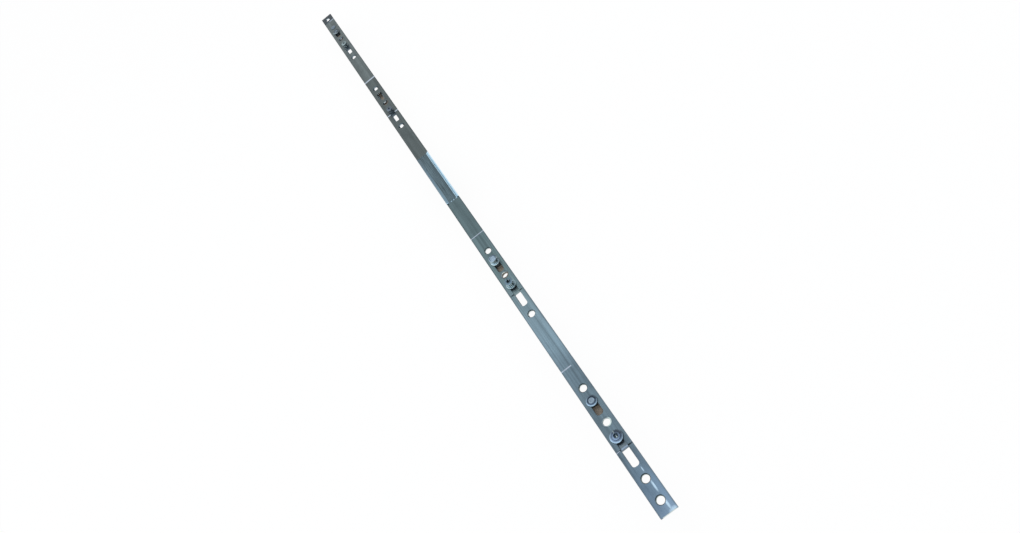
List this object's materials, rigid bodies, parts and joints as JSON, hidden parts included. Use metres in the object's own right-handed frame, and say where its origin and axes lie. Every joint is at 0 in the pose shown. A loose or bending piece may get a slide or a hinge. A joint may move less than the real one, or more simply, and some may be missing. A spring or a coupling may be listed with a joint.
{
  "type": "espagnolette lock",
  "caption": "Long flat zinc-plated strip with a sliding rod behind it, mushroom locking cams in slots, and a square-spindle gearbox under a bright raised cover in the middle.",
  "frame": {"origin": "centre of the follower's square hole, midway across the strip's width", "axes": "+X along the strip towards the near end, +Y the handle spindle's axis, +Z out of the faceplate"},
  "size_m": [0.883, 0.016, 0.035],
  "materials": {
    "strip_zinc": "brushed zinc plate",
    "cover_zinc": "bright zinc plate",
    "case_zinc": "satin zinc",
    "rod_steel": "zinc plate",
    "splice_steel": "zinc plate",
    "rivet_steel": "zinc plate",
    "cam_steel": "turned and zinc plated",
    "follower_steel": "sintered steel",
    "guide_plastic": "brown plastic"
  },
  "bodies": {
    "strip": {"case_rivet_high_far": "rivet_steel", "case_rivet_high_near": "rivet_steel", "case_rivet_low_far": "rivet_steel", "case_rivet_low_near": "rivet_steel", "end_tab": "strip_zinc", "far_end_eyelet": "rivet_steel", "far_end_faceplate": "strip_zinc", "far_end_guide": "guide_plastic", "far_eyelet": "rivet_steel", "far_faceplate": "strip_zinc", "far_guide": "guide_plastic", "far_lug_rivet": "rivet_steel", "far_splice": "splice_steel", "far_splice_rivet_1": "rivet_steel", "far_splice_rivet_2": "rivet_steel", "gearbox_case": "case_zinc", "gearbox_cover": "cover_zinc", "gearbox_lid": "case_zinc", "near_end_eyelet": "rivet_steel", "near_end_faceplate": "strip_zinc", "near_end_guide": "guide_plastic", "near_eyelet": "rivet_steel", "near_faceplate": "strip_zinc", "near_guide": "guide_plastic", "near_lug_rivet": "rivet_steel", "near_splice": "splice_steel", "near_splice_rivet_1": "rivet_steel", "near_splice_rivet_2": "rivet_steel", "tab_rivet": "rivet_steel"},
    "drive": {"far_end_roller_stud": "rivet_steel", "far_lap_rivet_1": "rivet_steel", "far_lap_rivet_2": "rivet_steel", "far_rod": "rod_steel", "near_end_roller_stud": "rivet_steel", "near_lap_rivet_1": "rivet_steel", "near_lap_rivet_2": "rivet_steel", "near_rod": "rod_steel", "near_roller_stud": "rivet_steel", "rack_rod": "rod_steel"},
    "follower": {"follower": "follower_steel"},
    "far_end_roller": {"far_end_roller": "cam_steel"},
    "near_roller": {"near_roller": "cam_steel"},
    "near_end_roller": {"near_end_roller": "cam_steel"},
    "far_end_eccentric": {"far_end_eccentric": "cam_steel"},
    "far_eccentric": {"far_eccentric": "cam_steel"},
    "near_eccentric": {"near_eccentric": "cam_steel"},
    "near_end_eccentric": {"near_end_eccentric": "cam_steel"}
  },
  "joints": [
    {"name": "drive_slide", "type": "slide", "parent": "strip", "child": "drive", "axis": [1, 0, 0], "range_m": [0, 0.0117]},
    {"name": "follower_turn", "type": "hinge", "parent": "strip", "child": "follower", "pos_m": [0, 0, 0], "axis": [0, 1, 0], "range_deg": [0, 92]},
    {"name": "far_end_roller_spin", "type": "hinge", "parent": "drive", "child": "far_end_roller", "pos_m": [-0.382, 0, 0.018], "axis": [0, 0, 1], "continuous": true},
    {"name": "near_roller_spin", "type": "hinge", "parent": "drive", "child": "near_roller", "pos_m": [0.151, 0, 0.018], "axis": [0, 0, 1], "continuous": true},
    {"name": "near_end_roller_spin", "type": "hinge", "parent": "drive", "child": "near_end_roller", "pos_m": [0.3375, 0, 0.018], "axis": [0, 0, 1], "continuous": true},
    {"name": "far_end_eccentric_turn", "type": "hinge", "parent": "drive", "child": "far_end_eccentric", "pos_m": [-0.3395, 0, 0.018], "axis": [0, 0, 1], "range_deg": [-90, 90]},
    {"name": "far_eccentric_turn", "type": "hinge", "parent": "drive", "child": "far_eccentric", "pos_m": [-0.153, 0, 0.018], "axis": [0, 0, 1], "range_deg": [-90, 90]},
    {"name": "near_eccentric_turn", "type": "hinge", "parent": "drive", "child": "near_eccentric", "pos_m": [0.186, 0, 0.018], "axis": [0, 0, 1], "range_deg": [-90, 90]},
    {"name": "near_end_eccentric_turn", "type": "hinge", "parent": "drive", "child": "near_end_eccentric", "pos_m": [0.3755, 0, 0.018], "axis": [0, 0, 1], "range_deg": [-90, 90]}
  ],
  "couplings": [
    {"joint": "follower_turn", "follows": "drive_slide", "rad_per_m": 133.33}
  ]
}
